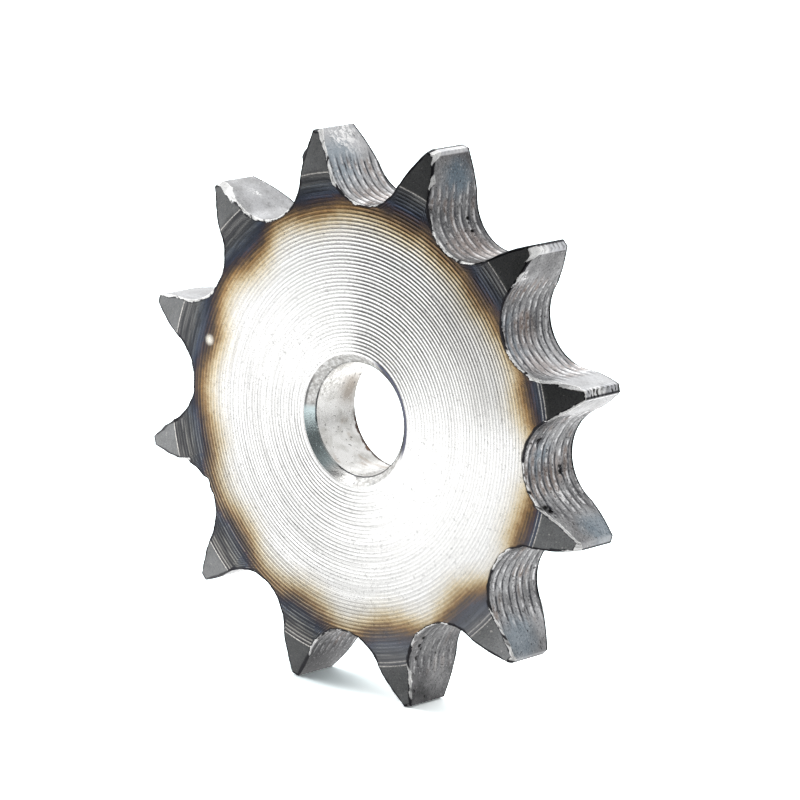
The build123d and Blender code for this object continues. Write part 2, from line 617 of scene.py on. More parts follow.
def half_outline():
    """One side of a tooth gap, from the middle of its floor to the middle of the next tooth's tip, in the
    gap's own frame: x out along the radius and y sideways. The seat is an arc round a centre on the gap's
    middle line, the flank an arc round a centre inside the tooth, and the tip an arc round the axis.
    Returns points, unit normals out of the steel, and the distance along the outline."""
    seat_centre = np.array([root_radius + seat_radius, 0.0])
    lean = math.pi - half_seating_angle
    flank_centre = seat_centre + (seat_radius + flank_radius) * np.array([math.cos(lean), math.sin(lean)])
    centre_distance = np.hypot(*flank_centre)
    centre_direction = math.atan2(flank_centre[1], flank_centre[0])
    cosine = (tip_radius**2 - centre_distance**2 - flank_radius**2) / (2 * flank_radius * centre_distance)
    flank_end = math.acos(cosine) - centre_direction

    turn = np.linspace(0, half_seating_angle, seat_columns, endpoint=False)
    seat_normal = np.stack([np.cos(turn), -np.sin(turn)], 1)
    seat = seat_centre - seat_radius * seat_normal

    turn = np.linspace(half_seating_angle, flank_end, flank_columns, endpoint=False)
    flank_normal = np.stack([np.cos(turn), -np.sin(turn)], 1)
    flank = flank_centre + flank_radius * flank_normal

    corner = flank_centre + flank_radius * np.array([math.cos(flank_end), -math.sin(flank_end)])
    turn = np.linspace(math.atan2(corner[1], corner[0]), half_pitch_angle, tip_columns + 1)
    tip_normal = np.stack([np.cos(turn), np.sin(turn)], 1)
    tip = tip_radius * tip_normal

    points = np.concatenate([seat, flank, tip])
    normals = np.concatenate([seat_normal, flank_normal, tip_normal])
    along = np.concatenate([[0.0], np.cumsum(np.hypot(*np.diff(points, axis=0).T))])
    return points, normals, along


def wheel_outline():
    """The whole outline as columns, clockwise from the top as seen from the front. Each gap is half_outline
    and its mirror image, turned to its place. Each column has its angle, its radius, the cosine of the
    angle between the radius and the surface's normal, the normal's own angle, the gap's number, the signed
    distance along the outline from the gap's middle, the distance round the whole wheel, and whether it
    lies on a tooth's tip. With them come the lengths of half a gap and tooth, and of that up to the tip."""
    points, normals, along = half_outline()
    side = np.concatenate([-np.ones(len(along) - 1), np.ones(len(along) - 1)])
    order = np.concatenate([np.arange(len(along) - 1, 0, -1), np.arange(0, len(along) - 1)])
    gap = np.repeat(np.arange(tooth_count), len(order))
    turned = gap * 2 * half_pitch_angle
    angle = np.tile(np.arctan2(points[order, 1], points[order, 0]) * side, tooth_count) + turned
    normal_angle = np.tile(np.arctan2(normals[order, 1], normals[order, 0]) * side, tooth_count) + turned
    distance = np.tile(along[order] * side, tooth_count)
    return {
        "angle": angle,
        "radius": np.tile(np.hypot(*points[order].T), tooth_count),
        "lean": np.maximum(np.cos(normal_angle - angle), least_lean),
        "normal_angle": normal_angle,
        "gap": gap,
        "distance": distance,
        "round": distance + gap * 2 * along[-1],
        "half_length": along[-1],
        "tip_start": along[seat_columns + flank_columns],
        "on_tip": np.tile(np.abs(order) >= seat_columns + flank_columns, tooth_count),
    }


def away_from(columns, place):
    """Distance in metres along the outline from a place on it, clockwise, the short way round the wheel."""
    gap, distance = place
    whole = tooth_count * 2 * columns["half_length"]
    start = gap * 2 * columns["half_length"] + distance * MM
    return (columns["round"] - start + whole / 2) % whole - whole / 2


def hump(offset, half_length):
    """A round hump: 1 at an offset of 0, falling to 0 at the half length as a parabola."""
    return np.clip(1 - (offset / half_length) ** 2, 0, 1)


def front_edge_break(columns):
    """How far the broken front edge reaches in over the face and along the gap in each column: an uneven
    small bevel, with chips knocked out of it."""
    ripple = waver(columns["round"], "edge") + fine_ripple_share * waver(columns["round"], "fine_edge")
    over = edge_break * np.clip(1 + edge_break_swing * ripple, *edge_break_limits)
    along = over.copy()
    for gap, distance, half_length, inset, depth in front_chips:
        shape = hump(away_from(columns, (gap, distance)), half_length * MM)
        over += inset * MM * shape
        along += depth * MM * shape
    return over, along


def front_burr(columns):
    """How far the front edge stands out past the gap's surface in each column."""
    height = np.zeros(len(columns["round"]))
    for gap, distance, half_length, size in front_burrs:
        height += size * MM * hump(away_from(columns, (gap, distance)), half_length * MM)
    return height


def edge_brightness(columns):
    """How far the front edge is rubbed bright and painted with highlights in each column: named stretches,
    broken up. Above 1 the bright band is wider by that factor."""
    bright = stray_level + stray_swing * waver(columns["round"], "stray_rubbing_and_highlight")
    broken = np.clip(bright_level + bright_swing * waver(columns["round"], "broken_rubbing_and_highlight"), 0, 1)
    for gap, start, end, strength in rubbed_highlit_edges:
        offset = away_from(columns, (gap, (start + end) / 2))
        inside = np.clip(((end - start) / 2 * MM - np.abs(offset)) / bright_end + 1, 0, 1)
        bright = np.maximum(bright, inside * strength * broken)
    return np.clip(bright, 0, brightest)


def side_tone(columns):
    """How bare the steel is in each column, from 0, scaled, to 1, with painted shade in it on some flanks: a
    level for the side before and after each gap's middle, blended across its floor."""
    after = np.clip(0.5 + columns["distance"] / bare_blend, 0, 1)
    before_level = np.array(bare_and_shade_before)[columns["gap"]]
    after_level = np.array(bare_and_shade_after)[columns["gap"]]
    return before_level + after * (after_level - before_level)


def ring(angle, radius, y):
    """Points at these angles clockwise from the top, radii and depths behind the origin."""
    angle, radius, y = np.broadcast_arrays(angle, radius, y)
    return np.stack([radius * np.sin(angle), y, radius * np.cos(angle)], 1)


def sprocket_rings(columns):
    """The closed section carried round the wheel, as rings of points in order: bore wall, front chamfer,
    front face, bevel, tooth gaps from front to back, back bevel, back face and back chamfer. The inner
    rings have every coarse_step-th column. Each ring is its points, the kind of surface after it, and the
    numbers named in held_numbers."""
    fine = columns["angle"]
    coarse = fine[::coarse_step]
    tooth = np.round(fine / (2 * half_pitch_angle) + 0.5).astype(int) % tooth_count
    bareness = np.array(bevel_bareness)[tooth]
    mouth = bore_radius + bore_chamfer

    def row(points, kind, *values):
        """One ring, with the held numbers that aren't given."""
        values = [*values, *list(held_numbers.values())[len(values):]]
        return points, kind, *(np.broadcast_to(value, len(points)) for value in values)

    def chamfer(shares, plane, inwards):
        """Rings of a chamfer, by their shares of the way from the bore's wall to the face."""
        for share in shares:
            y = plane + inwards * (1 - share) * bore_chamfer
            yield row(ring(coarse, bore_radius + share * bore_chamfer, y), "bore")

    def face(plane, inwards, in_turn, bevel_shares, edge, rubbed):
        """Rings of a face, from the bore's mouth out to the edge. There are rows on the ridges and in the
        grooves, which follow them where they can, and are squeezed towards a gap's floor."""
        for radius in rows_between(mouth, in_turn):
            y = plane + inwards * turned_grooves(radius, coarse)
            yield row(ring(coarse, radius, y), "face", groove_share(radius))
        rows = [face_row(radius, edge) for radius in rows_beyond(in_turn)]
        hollows = [groove_share(radius) * (radius < bevel_start) for radius in rows]
        rows += [bevel_row(share, edge) for share in bevel_shares]
        hollows += [0.0] * len(bevel_shares)
        for radius, hollow in zip(rows, hollows):
            points = ring(fine, radius, face_depth(radius, fine, plane, inwards))
            yield row(points, "face", hollow, rubbed, (edge - radius) * columns["lean"] / MM, bareness)

    rings = []
    for y in np.linspace(back_plane - bore_chamfer, front_plane + bore_chamfer, wall_rows + 1)[:-1]:
        rings.append(row(ring(coarse, bore_radius, y), "bore"))
    rings += chamfer(chamfer_shares, front_plane, 1)

    over, along = front_edge_break(columns)
    bright = edge_brightness(columns)
    edge = columns["radius"] - over / columns["lean"]
    shares = np.linspace(0, 1, bevel_rows)
    rings += face(front_plane, 1, front_rows_in_turn, shares, edge, bright)
    rings[-1] = (rings[-1][0], "edge", *rings[-1][2:])

    # Tooth gaps, from the front edge to the back edge
    tone = side_tone(columns)
    burr = front_burr(columns)
    front_edge = face_depth(columns["radius"], fine, front_plane, 1) + along
    back_edge = face_depth(columns["radius"], fine, back_plane, -1) - edge_break
    for index in range(rim_rows + 1):
        y = front_edge + index / rim_rows * (back_edge - front_edge)
        points = ring(fine, columns["radius"], y)
        sink, mark_numbers = gap_wear(columns, y)
        sink = sink - burr * max(0, 1 - index / burr_rows)
        points[:, 0] -= sink * np.sin(columns["normal_angle"])
        points[:, 2] -= sink * np.cos(columns["normal_angle"])
        brink = np.minimum(y - front_edge, back_edge - y) / MM
        kind = "rim" if index < rim_rows else "edge"
        rings.append(row(points, kind, 0.0, bright, brink, tone, *mark_numbers))

    edge = columns["radius"] - edge_break / columns["lean"]
    back = [*face(back_plane, -1, back_rows_in_turn, shares[1::2], edge, back_brightness)]
    return rings + back[::-1] + [*chamfer((1, *chamfer_shares[:0:-1]), back_plane, -1)]


def rows_between(mouth, in_turn):
    """Radii of the rows from the bore's mouth to where the columns get finer, this many to a turn of the
    lathe, with one on each ridge."""
    first = math.ceil(float(groove_phase(mouth)) * in_turn) + 1
    return np.concatenate([[mouth], radius_of_phase(np.arange(first, switch_turns * in_turn) / in_turn)])


def rows_beyond(in_turn):
    """Radii of the rows from there to the bevel line."""
    last = math.ceil(float(groove_phase(bevel_start)) * in_turn)
    return radius_of_phase(np.arange(switch_turns * in_turn, last) / in_turn)


def face_row(radius, edge):
    """A row's radius in every column: the same radius round a tooth's root, and pulled in evenly between
    the first row and the edge where the gap's floor lies further in than the bevel line."""
    start = radius_of_phase(switch_turns)
    room = np.minimum(edge, bevel_start) - start
    return start + (radius - start) / (bevel_start - start) * room


def bevel_row(share, edge):
    """A row across the bevel, by its share of the way from the bevel line to the edge. Where the edge lies
    inside the bevel line, the rows share the last few hundredths of the face."""
    start = radius_of_phase(switch_turns)
    line = np.minimum(bevel_start, start + bevel_squeeze * (edge - start))
    return line + share * (edge - line)


def face_depth(radius, angle, plane, inwards):
    """Where the turned face lies: at its plane, less the grooves, and falling away by the bevel's slope
    beyond the bevel line."""
    beyond = np.maximum(radius - bevel_start, 0)
    fade = root_groove_share * np.clip((bevel_start - radius) / groove_fading, 0, 1)
    fade = np.where(radius < radius_of_phase(switch_turns), 1.0, fade)
    return plane + inwards * (beyond * bevel_slope + fade * turned_grooves(radius, angle))


def gap_wear(columns, y):
    """What the tooth gaps lost to the cutter and to wear. The marks are scallops that run along the gap
    with a slight slant, deepest in the seat and fading out up the flanks, each gap with its own start,
    spacing and strength. Pits are round dishes, some tips have bars across, and all is a little uneven.
    Returns the whole depth in metres, and the marks' turns, their strength, whether bars cross them and the
    distance from the nearest dark corner of a tip, in widths of its line."""
    distance, along, gap_number = columns["distance"], columns["round"], columns["gap"]
    sway = mark_sway * waver(along, "mark_sway")
    spacing = np.array(mark_spacing)[gap_number] * MM
    turns = (y + mark_slant * distance) / spacing + turns_to_next_gap * gap_number + sway + first_turn
    reach = np.clip((mark_reach - np.abs(distance)) / mark_fading, 0, 1)
    fade = reach * np.array(mark_strength)[gap_number]
    uneven = 1 + mark_unevenness * waver(along + mark_drift * y, "mark_depth")
    depth = mark_depth * fade * scallop(turns) * uneven
    depth = depth + gap_unevenness * waver(along + surface_drift * y, "gap_surface") * (1 - columns["on_tip"])
    for gap, place, pit_y, radius in gap_pits:
        away = np.hypot(away_from(columns, (gap, place)), y - pit_y * MM)
        depth = depth + pit_depth * radius * MM * np.clip(pit_reach - away / (radius * MM), 0, 1)
    barred = np.zeros(len(y))
    for gap, darkness in barred_tips:
        away = np.abs(away_from(columns, (gap, columns["half_length"] / MM)))
        barred += darkness * (away < bar_reach)
    barred = barred * columns["on_tip"]
    depth = depth * (1 - columns["on_tip"]) + bar_depth * barred * scallop(y / bar_spacing)
    corner = np.full(len(y), held_numbers["corner"])
    for gap, side, width in dark_corners:
        away = np.abs(away_from(columns, (gap, side * columns["tip_start"] / MM)))
        corner = np.minimum(corner, away / (width * MM))
    return depth, (turns, fade, barred, corner)


def joined_rings(rings):
    """Faces between each ring and the next, the last one being joined to the first. Rings of the same
    count get quads. Where one ring has coarse_step times the columns of the other, each coarse step gets
    two triangles and a quad. Returns the quads and their rings' numbers, then the triangles and theirs."""
    start = np.cumsum([0] + [len(r) for r in rings])
    quads, triangles = [], []
    for row in range(len(rings)):
        other = (row + 1) % len(rings)
        here, there = len(rings[row]), len(rings[other])
        a, b = start[row], start[other]
        i = np.arange(min(here, there))
        n = (i + 1) % len(i)
        if here == there:
            quads.append((row, [a + i, a + n, b + n, b + i]))
            continue
        small, large = (a, b) if here < there else (b, a)
        f = [large + (coarse_step * i + k) % max(here, there) for k in range(coarse_step + 1)]
        parts = [[small + i, f[1], f[0]], [small + n, f[3], f[2]], [small + i, small + n, f[2], f[1]]]
        if here > there:
            parts = [part[::-1] for part in parts]
        triangles += [(row, part) for part in parts[:2]]
        quads.append((row, parts[2]))
    found = []
    for faces in (quads, triangles):
        found.append(np.concatenate([np.stack(corners, 1) for _, corners in faces]))
        found.append(np.concatenate([np.full(len(corners[0]), row) for row, corners in faces]))
    return found


def mesh_of(name, points, quads, triangles, slots, values, on_ridge):
    """A mesh of these points and faces, quads first, with a material slot number for each face and
    named numbers for each point. Edges are sharp where the surface turns by a good angle, and between two
    points on_ridge that are equally far from the axis."""
    corners = np.concatenate([quads.ravel(), triangles.ravel()]).astype(np.int32)
    sizes = np.concatenate([np.full(len(quads), 4), np.full(len(triangles), 3)])
    starts = (np.cumsum(sizes) - sizes).astype(np.int32)
    mesh = bpy.data.meshes.new(name)
    mesh.vertices.add(len(points))
    mesh.vertices.foreach_set("co", points.astype(np.float32).ravel())
    mesh.loops.add(len(corners))
    mesh.loops.foreach_set("vertex_index", corners)
    mesh.polygons.add(len(sizes))
    mesh.polygons.foreach_set("loop_start", starts)
    mesh.polygons.foreach_set("material_index", slots.astype(np.int32))
    mesh.update(calc_edges=True)
    for key, numbers in values.items():
        layer = mesh.attributes.new(key, "FLOAT", "POINT")
        layer.data.foreach_set("value", numbers.astype(np.float32))
    mesh.validate()
    mesh.polygons.foreach_set("use_smooth", np.ones(len(sizes), dtype=bool))
    mesh.set_sharp_from_angle(angle=sharp_angle)
    ends = np.empty(2 * len(mesh.edges), dtype=np.int32)
    mesh.edges.foreach_get("vertices", ends)
    first, second = ends[::2], ends[1::2]
    sharp = np.empty(len(mesh.edges), dtype=bool)
    mesh.edges.foreach_get("use_edge_sharp", sharp)
    far = np.hypot(points[:, 0], points[:, 2])
    sharp |= on_ridge[first] & on_ridge[second] & (np.abs(far[first] - far[second]) < ridge_drift)
    mesh.edges.foreach_set("use_edge_sharp", sharp)
    return mesh


def make_sprocket():
    """The whole sprocket as one closed surface, in place of the plain CAD node."""
    columns = wheel_outline()
    rings = sprocket_rings(columns)
    points = np.concatenate([r[0] for r in rings])
    values = {name: np.concatenate([r[2 + index] for r in rings]) for index, name in enumerate(held_numbers)}
    clockwise = np.arctan2(points[:, 0], points[:, 2])
    values["grooved"] = grooves_left(clockwise)
    values["shifted"] = tint_shift(clockwise)
    quads, quad_row, triangles, triangle_row = joined_rings([r[0] for r in rings])
    finishes = {"face": turned_face, "rim": milled_gap, "edge": broken_edge, "bore": reamed_bore}
    kind_slot = np.array([list(finishes).index(r[1]) for r in rings])
    slots = np.concatenate([kind_slot[quad_row], kind_slot[triangle_row]])
    away = np.hypot(points[:, 0], points[:, 2])
    on_face = (np.abs(points[:, 1]) > back_plane - ridge_sink) & (away < ridge_limit)
    on_ridge = on_face & (values["hollow"] < ridge_hollow)
    mesh = mesh_of("turned_sprocket", points, quads, triangles, slots, values, on_ridge)
    piece = add_object("turned_sprocket", mesh)
    for make in finishes.values():
        mesh.materials.append(make())
    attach(piece, "root")
    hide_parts("sprocket")


class Value:
    """What a node puts out. Sums, differences and products of it add math nodes to its tree."""

    def __init__(self, nodes, socket):
        self.nodes = nodes
        self.socket = socket

    def __add__(self, other):
        return self.nodes.math("ADD", self, other)

    def __sub__(self, other):
        return self.nodes.math("SUBTRACT", self, other)

    def __rsub__(self, other):
        return self.nodes.math("SUBTRACT", other, self)

    def __mul__(self, other):
        return self.nodes.math("MULTIPLY", self, other)

    def between(self, low, high, start=0.0, end=1.0):
        """Turns low to high into start to end, smoothly, and holds the ends."""
        inputs = {"Value": self, "From Min": low, "From Max": high, "To Min": start, "To Max": end}
        return self.nodes.add("ShaderNodeMapRange", inputs, interpolation_type="SMOOTHSTEP")

    def step(self, name):
        """One of the named steps."""
        return self.between(*steps[name])

    def arc(self, name):
        """1 in one of the named stretches of angle, falling smoothly to 0 at both ends."""
        start, whole, fade, end = arcs[name]
        return self.between(start, whole) * self.between(end, fade)

    def side(self, name):
        """1 on one of the named sides of the wheel, by the cosine of this angle's distance from it."""
        middle, start, whole = sides[name]
        return self.nodes.math("COSINE", self - math.radians(middle)).between(start, whole)


class Nodes:
    """Adds nodes to one tree. An input is a number, a tuple or another node's Value."""

    def __init__(self, tree):
        self.tree = tree

    def join(self, value, socket):
        """Leads a value into an input."""
        if isinstance(value, Value):
            self.tree.links.new(value.socket, socket)
        else:
            socket.default_value = value

    def add(self, kind, inputs=None, output=0, **settings):
        """Adds a node and returns one of its outputs, or all of them by name when output is None."""
        node = self.tree.nodes.new(kind)
        for name, value in settings.items():
            setattr(node, name, value)
        for key, value in (inputs or {}).items():
            self.join(value, node.inputs[key])
        if output is None:
            return {socket.name: Value(self, socket) for socket in node.outputs}
        return Value(self, node.outputs[output])

    def math(self, operation, a, b=0.0):
        """A math node's result."""
        return self.add("ShaderNodeMath", {0: a, 1: b}, operation=operation)

    def measure(self, operation, a, b=(0, 0, 0)):
        """A number from vectors: the length of one, or the distance or dot product of two."""
        return self.add("ShaderNodeVectorMath", {0: a, 1: b}, "Value", operation=operation)

    def split(self, place):
        """The parts of a vector, by the names X, Y and Z."""
        return self.add("ShaderNodeSeparateXYZ", {0: place}, None)

    def mix(self, share, a, b):
        """A colour between a and b. A single number is a grey."""
        inputs = {0: share}
        for index, colour in ((6, a), (7, b)):
            if not isinstance(colour, Value):
                colour = (*(colour if isinstance(colour, tuple) else (colour,) * 3), 1.0)
            inputs[index] = colour
        return self.add("ShaderNodeMix", inputs, 2, data_type="RGBA")

    def lay(self, colour, rows):
        """A colour with some of the named layers over it, where each one's value and masks let it through."""
        for name, row in rows.items():
            value, *masks = row if isinstance(row, tuple) else (row,)
            *ends, strength, layer_colour = layers[name]
            share = value.between(*ends, 0.0, strength) if ends else value * strength
            for mask in masks:
                share = share * mask
            colour = self.mix(share, colour, layer_colour)
        return colour

    def total(self, name, values):
        """One of the named sums, of these values."""
        result, weights = sums[name]
        for key, weight in weights.items():
            result = values[key] * weight + result
        return result

    def stretched(self, place, stretch):
        """The place in mm, stretched along each axis, or along all alike."""
        scale = stretch if isinstance(stretch, tuple) else (stretch,) * 3
        inputs = {0: place, 1: [part / MM for part in scale]}
        return self.add("ShaderNodeVectorMath", inputs, operation="MULTIPLY")

    def cloud(self, place, scale, detail, roughness, distortion=0.0):
        """Cloudy noise from 0 to 1 with about this many bumps to the unit."""
        inputs = {"Vector": place, "Scale": scale, "Detail": detail, "Roughness": roughness}
        return self.add("ShaderNodeTexNoise", inputs | {"Distortion": distortion})

    def noise(self, place, row):
        """One of the noises in the tables."""
        stretch, settings, ends = row
        value = self.cloud(self.stretched(place, stretch), *settings)
        return value.between(*ends) if ends else value

    def ramp(self, value, stops):
        """A colour ramp with stops of position and colour."""
        colour = self.add("ShaderNodeValToRGB", {0: value})
        elements = colour.socket.node.color_ramp.elements
        while len(elements) < len(stops):
            elements.new(0.5)
        for element, (position, tone) in zip(elements, stops):
            element.position = position
            element.color = (*tone, 1.0)
        return colour

    def group(self, name, **inputs):
        """Places one of the node groups and returns its outputs by name."""
        return self.add("ShaderNodeGroup", inputs, None, node_tree=bpy.data.node_groups[name])


def make_group(build, *titles):
    """Makes the node group that a function describes. Place is a vector and the other inputs are numbers. The
    function gets the group's Nodes and its inputs, and returns its outputs, all by name."""
    tree = bpy.data.node_groups.new(build.__name__, "ShaderNodeTree")
    for title in titles:
        kind = "NodeSocketVector" if title == "Place" else "NodeSocketFloat"
        tree.interface.new_socket(title, in_out="INPUT", socket_type=kind)
    n = Nodes(tree)
    found = build(n, n.add("NodeGroupInput", output=None))
    for title, value in found.items():
        kind = "NodeSocketColor" if value.socket.type == "RGBA" else "NodeSocketFloat"
        tree.interface.new_socket(title, in_out="OUTPUT", socket_type=kind)
    target = tree.nodes.new("NodeGroupOutput")
    for title, value in found.items():
        n.join(value, target.inputs[title])


def wheel_place(n, given):
    """Where a point lies on the wheel: its radius as a share of the tip radius, and its angle clockwise
    from the top."""
    parts = n.split(given["Place"])
    across = n.add("ShaderNodeCombineXYZ", {0: parts["X"], 2: parts["Z"]})
    return {
        "Radius": n.math("DIVIDE", n.measure("LENGTH", across), tip_radius),
        "Angle": n.math("ARCTAN2", parts["X"], parts["Z"]),
    }


def heat_tint(n, given):
    """Oxide colours from hardening the teeth, as a ramp over a heat that grows with the radius. Its rings
    lie off centre, reach further in under a tooth than at a gap, and wander a little."""
    lean = n.math("COSINE", given["Angle"] - heat_lean_angle) * heat_lean
    under = (n.math("COSINE", given["Angle"] * float(tooth_count)) + 1.0) * heat_scallop
    heat = given["Radius"] - given["Shift"] - (lean + under)
    for name, reach in heat_wander.items():
        heat = heat + (n.noise(given["Place"], noises[name]) - 0.5) * reach
    heat = heat + given["Hollow"] * heat_in_grooves
    first, last = heat_stops[0][0], heat_stops[-1][0]
    share = n.add("ShaderNodeMapRange", {"Value": heat, "From Min": first, "From Max": last})
    stops = [((at - first) / (last - first), colour) for at, colour in heat_stops]
    return {"Color": n.ramp(share, stops), "Oxide": heat.step("oxide")}


def ring_lines(n, given):
    """Lines round the axis, left by the lathe tool: fine ones, wider ones that change the tone from turn to
    turn, broad bands, and short dashes. Each is noise over the radius, with the angle going slowly through
    it as its cosine and sine."""
    found = {}
    for name, (across, around, detail) in ring_noises.items():
        parts = {0: given["Radius"] * across}
        for index, wave in ((1, "COSINE"), (2, "SINE")):
            parts[index] = n.math(wave, given["Angle"]) * around
        found[name] = n.cloud(n.add("ShaderNodeCombineXYZ", parts), 1.0, detail, ring_roughness)
    found["Dashes"] = found["Dashes"].step("dashes")
    return found


def shop_wear(n, given):
    """Small marks on any steel surface: bright specks, dark specks, thin scratches, a fine grain, a finer
    one, slow clouds and the ragged line that worn edges follow."""
    return {name: n.noise(given["Place"], row) for name, row in wear_noises.items()}


def cutter_marks(n, given):
    """The cutter's marks in the gaps, from the turns that the mesh holds: the height of parabolas between
    whole turns, a dark line of painted shade beside each ridge, a bright line of painted highlight on it,
    brown heat in the hollows, and thin dark streaks that run the same way."""
    place, turns, fade = given["Place"], given["Turns"], given["Fade"]
    part = n.math("FRACT", turns)
    hollow = part * (1.0 - part) * 4.0
    patchy = n.noise(place, noises["mark_patches"])
    strong = fade * patchy.step("patchy_marks")
    parts = n.split(n.stretched(place, streak_stretch))
    lengthwise = n.add("ShaderNodeCombineXYZ", {0: parts["X"], 1: turns * streaks_in_turn, 2: parts["Z"]})
    return {
        "Height": (1.0 - hollow) * strong,
        "Dark": part.step("beside_ridge") * part.step("beside_ends") * strong,
        "Bright": part.step("ridge_foot") * part.step("ridge_top") * strong * patchy.step("patchy_ridges"),
        "Heat": fade * n.noise(place, noises["mark_heat"]) * part.step("warm_side"),
        "Streaks": n.cloud(lengthwise, *streak_noise).step("streaks") * fade.step("streaks_fade"),
    }


def nearest_of(n, place, spots, fray, span):
    """1 inside any of these places in the gaps, given as place, depth behind the middle plane and radius. The
    mask rises over a span of the radius, and fray in mm makes it ragged."""
    columns = wheel_outline()
    total = None
    for gap, distance, y, radius in spots:
        nearest = int(np.argmin(np.abs(away_from(columns, (gap, distance)))))
        angle, out = columns["angle"][nearest : nearest + 1], columns["radius"][nearest]
        away = mm_from(n, place, ring(angle, out, y * MM)[0]) + fray
        inside = away.between(*(radius * share for share in span))
        total = inside if total is None else n.math("MAXIMUM", total, inside)
    return total


def mm_from(n, place, centre):
    """Distance in mm from a point."""
    return n.measure("DISTANCE", place, centre) * (1 / MM)


def patch_masks(n, given):
    """Masks of the named patches in the gaps: scratched and painted bright as glints where a fine noise is
    high, and softly tinted blue or brown."""
    place = given["Place"]
    sway = (n.noise(place, noises["patch_sway"]) - 0.5) * patch_sway
    found = {name: nearest_of(n, place, spots, sway, patch_span) for name, spots in gap_patches.items()}
    found["Bright"] = found["Bright"] * n.noise(place, noises["patch_scratches"])
    return found


def pit_masks(n, given):
    """Masks that are 1 inside the named pits of the tooth gaps and inside the hardness test's dent."""
    place = given["Place"]
    fray = n.noise(place, noises["pit_fray"]) * pit_fray
    centre = ring(np.array([dent_angle]), dent_distance, front_plane)[0]
    dent = (mm_from(n, place, centre) + fray).between(*(dent_radius / MM * share for share in dent_span))
    return {"Mask": nearest_of(n, place, gap_pits, fray, pit_span), "Dent": dent}


class Finish(Nodes):
    """The nodes of one steel material, with the object's own coordinates and the wear on any surface."""

    def __init__(self, name):
        self.material = bpy.data.materials.new(name)
        self.material.use_nodes = True
        super().__init__(self.material.node_tree)
        self.shader = self.tree.nodes["Principled BSDF"].inputs
        self.place = self.add("ShaderNodeTexCoord", output="Object")
        self.wear = self.group("shop_wear", Place=self.place)

    def held(self, name):
        """A number that the mesh holds for each point."""
        return self.add("ShaderNodeAttribute", output="Fac", attribute_name=name)

    def done(self, colour, metallic, rough, height, relief):
        """Joins a colour, how metallic and rough it is, and a bump of this relief in metres to the shader."""
        bump = self.add("ShaderNodeBump", {"Strength": 1.0, "Distance": relief, "Height": height})
        looks = {"Base Color": colour, "Metallic": metallic, "Roughness": rough, "Normal": bump}
        for key, value in looks.items():
            self.join(value, self.shader[key])
        return self.material

    def worn_edge(self, colour, width, most_matt):
        """The colour with a ragged band along the broken edges, up to about this width in mm: bright where
        the mesh holds that it is rubbed and highlit, partly wear and partly painted highlight, and dark
        elsewhere.
        The bright parts scatter the light like a matt surface, up to the share most_matt. Returns the colour
        and how metallic it is."""
        rubbed = self.held("rubbed")
        uneven = self.held("brink") + (self.wear["Ragged"] - 0.5) * worn_fray
        ragged = self.math("DIVIDE", uneven, self.math("MAXIMUM", rubbed, least_wear))
        band = ragged.between(width, width * band_core)
        bright = rubbed.step("rubbed")
        metallic = 1.0 - band * bright * most_matt
        return self.mix(band, colour, self.mix(bright, band_dark, band_bright)), metallic


def turned_face():
    """Both faces: clean turned steel in the middle, heat tint towards the teeth, dark scaled bevels, and a
    line rubbed bright where the bevel starts. At the lower left painted shade darkens the grooves and a
    painted highlight lightens the ridges, and painted shade darkens the upper right."""
    n = Finish("turned_face")
    wear = n.wear
    spot = n.group("wheel_place", Place=n.place)
    radius, angle = spot["Radius"], spot["Angle"]
    hollow, grooved = n.held("hollow"), n.held("grooved")
    tint = n.group("heat_tint", Place=n.place, Hollow=hollow, Shift=n.held("shifted"), **spot)
    lines = n.group("ring_lines", **spot)
    oxide = tint["Oxide"]

    # At the lower left: painted shade in the grooves and painted highlight on the ridges
    outer = radius.step("outer") * angle.side("lower_left")
    colour = n.lay(tint["Color"], {
        "fine_lines": (lines["Lines"], grooved),
        "dull_turns": (lines["Tones"], grooved),
        "shaded_grooves": (hollow, outer),
        "highlit_ridges": (hollow, outer),
        # painted shade on the upper right
        "upper_right_shade": (radius, angle.side("upper_right"), radius.step("upper_right_shade_fades")),
        "dashes": (lines["Dashes"], grooved * dashes_in_grooves + dashes_everywhere),
        "face_grain": wear["Fine"],
        "bands": (lines["Bands"], oxide),
        "scaled_grooves": hollow * oxide,
        "pale_scale": angle.side("low_right") * oxide,
    })
    line_radius = bevel_start / tip_radius
    on_bevel = radius.between(*(line_radius + step for step in bevel_span))
    bevel = n.lay(bevel_colour, {
        "bevel_clouds": wear["Cloud"],
        "bevel_lines": lines["Lines"],
        "bevel_grain": wear["Fine"],
        "bevel_glints": wear["Grain"],
        "bevel_specks": wear["Bright"],
    })
    colour = n.mix(on_bevel, colour, n.mix(n.held("bare"), scale_colour, bevel))
    broken = wear["Grain"].step("broken_line")
    first, second = (
        n.math("ABSOLUTE", radius - (line_radius - inset)).step("root_line") * broken
        for inset in (0.0, second_line_inset)
    )
    colour = n.lay(colour, {
        "bevel_start": first,
        "second_line": second * angle.side("second_line"),
        "face_specks": wear["Dark"],
        "dent": n.group("pit_masks", Place=n.place)["Dent"],
        # painted shade round the bore's mouth on the right
        "mouth_shade_line": (radius * (tip_radius / MM), angle.arc("right_mouth")),
        "face_rim": n.held("brink") + wear["Grain"] * face_rim_fray,
    })
    colour, metallic = n.worn_edge(colour, *face_wear)
    masks = lines | wear | tint | {"on_bevel": on_bevel}
    return n.done(colour, metallic, n.total("face_rough", masks), n.total("face_height", masks), face_relief)


